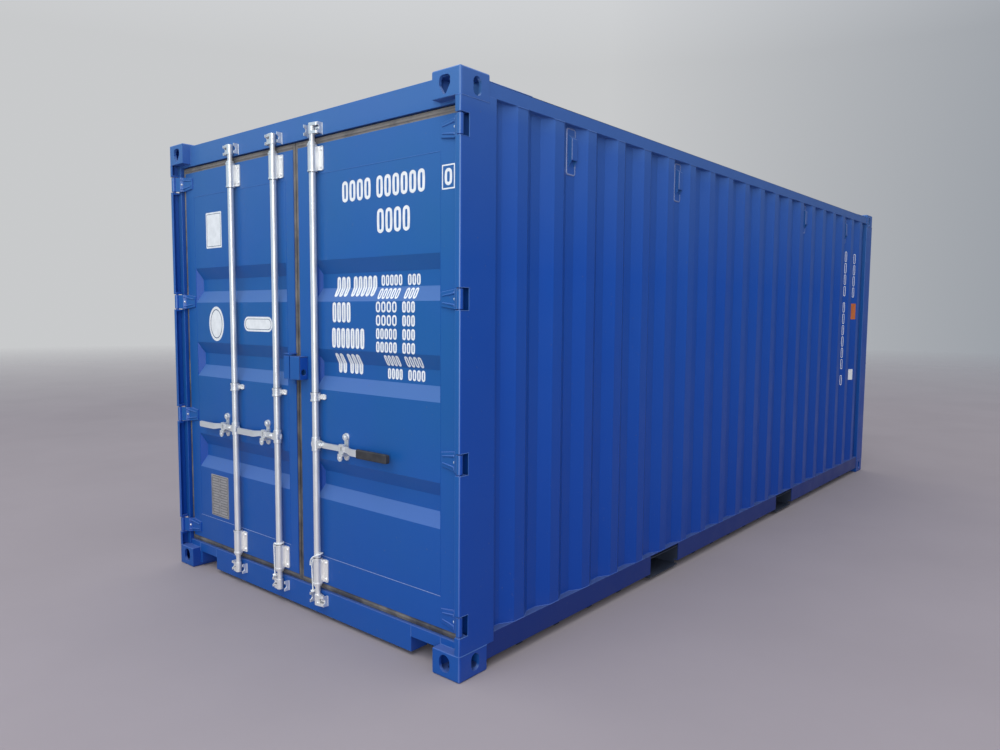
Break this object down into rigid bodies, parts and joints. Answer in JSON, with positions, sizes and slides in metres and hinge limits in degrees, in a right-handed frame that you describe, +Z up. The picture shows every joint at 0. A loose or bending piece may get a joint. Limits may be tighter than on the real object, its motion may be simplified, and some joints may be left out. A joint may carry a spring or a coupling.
{
  "type": "freight container",
  "caption": "Steel box container with corrugated walls, hinged door leaves, turning lock rods with lift handles, fork pockets and corner castings.",
  "frame": {"origin": "on the ground under the middle of the container", "axes": "+X along the length from the doors to the blind end, +Y across the width to the left of someone facing the doors, +Z up"},
  "size_m": [6.058, 2.438, 2.591],
  "materials": {
    "blue_paint": "semi-gloss",
    "underside_paint": "matt",
    "galvanised": "bright zinc",
    "seal_rubber": "matt",
    "floor_wood": "sealed plywood",
    "grip_plastic": "matt",
    "cord": "woven"
  },
  "bodies": {
    "container": {"lower_castings": "blue_paint", "upper_castings": "blue_paint", "door_posts": "blue_paint", "end_posts": "blue_paint", "door_header": "blue_paint", "door_sill": "blue_paint", "end_header": "blue_paint", "end_sill": "blue_paint", "top_rails": "blue_paint", "left_bottom_rail": "blue_paint", "right_bottom_rail": "blue_paint", "left_wall": "blue_paint", "right_wall": "blue_paint", "end_wall": "blue_paint", "roof": "blue_paint", "cross_members": "underside_paint", "fork_pockets": "underside_paint", "floor": "floor_wood", "vents": "blue_paint", "hinge_lugs": "blue_paint", "upper_keepers": "galvanised", "lower_keepers": "galvanised"},
    "left_door": {"left_leaf_frame": "blue_paint", "left_leaf_panel": "blue_paint", "left_seal": "seal_rubber", "left_hinge_blades": "blue_paint", "left_bearings": "galvanised", "left_retainers": "galvanised", "left_box_plate": "blue_paint", "cord_2": "cord"},
    "right_door": {"right_leaf_frame": "blue_paint", "right_leaf_panel": "blue_paint", "right_seal": "seal_rubber", "right_hinge_blades": "blue_paint", "right_bearings": "galvanised", "right_retainer": "galvanised", "lock_box": "blue_paint", "cord_3": "cord"},
    "first_rod": {"rod_1": "galvanised"},
    "second_rod": {"rod_2": "galvanised"},
    "third_rod": {"rod_3": "galvanised"},
    "first_handle": {"handle_1": "galvanised"},
    "second_handle": {"handle_2": "galvanised"},
    "third_handle": {"handle_3": "galvanised", "handle_grip": "grip_plastic"}
  },
  "joints": [
    {"name": "left_door_swing", "type": "hinge", "parent": "container", "child": "left_door", "pos_m": [-3.012, 1.202, 1.3], "axis": [0, 0, -1], "range_deg": [0, 255]},
    {"name": "right_door_swing", "type": "hinge", "parent": "container", "child": "right_door", "pos_m": [-3.012, -1.202, 1.3], "axis": [0, 0, 1], "range_deg": [0, 255]},
    {"name": "first_rod_turn", "type": "hinge", "parent": "left_door", "child": "first_rod", "pos_m": [-2.999, 0.58, 1.3], "axis": [0, 0, -1], "range_deg": [-105, 0]},
    {"name": "second_rod_turn", "type": "hinge", "parent": "left_door", "child": "second_rod", "pos_m": [-2.999, 0.16, 1.3], "axis": [0, 0, -1], "range_deg": [-105, 0]},
    {"name": "third_rod_turn", "type": "hinge", "parent": "right_door", "child": "third_rod", "pos_m": [-2.999, -0.183, 1.3], "axis": [0, 0, 1], "range_deg": [-105, 0]},
    {"name": "first_handle_lift", "type": "hinge", "parent": "first_rod", "child": "first_handle", "pos_m": [-2.999, 0.628, 0.92], "axis": [1, 0, 0], "range_deg": [0, 15]},
    {"name": "second_handle_lift", "type": "hinge", "parent": "second_rod", "child": "second_handle", "pos_m": [-2.999, 0.208, 0.92], "axis": [1, 0, 0], "range_deg": [0, 15]},
    {"name": "third_handle_lift", "type": "hinge", "parent": "third_rod", "child": "third_handle", "pos_m": [-2.999, -0.231, 0.92], "axis": [-1, 0, 0], "range_deg": [0, 15]}
  ]
}
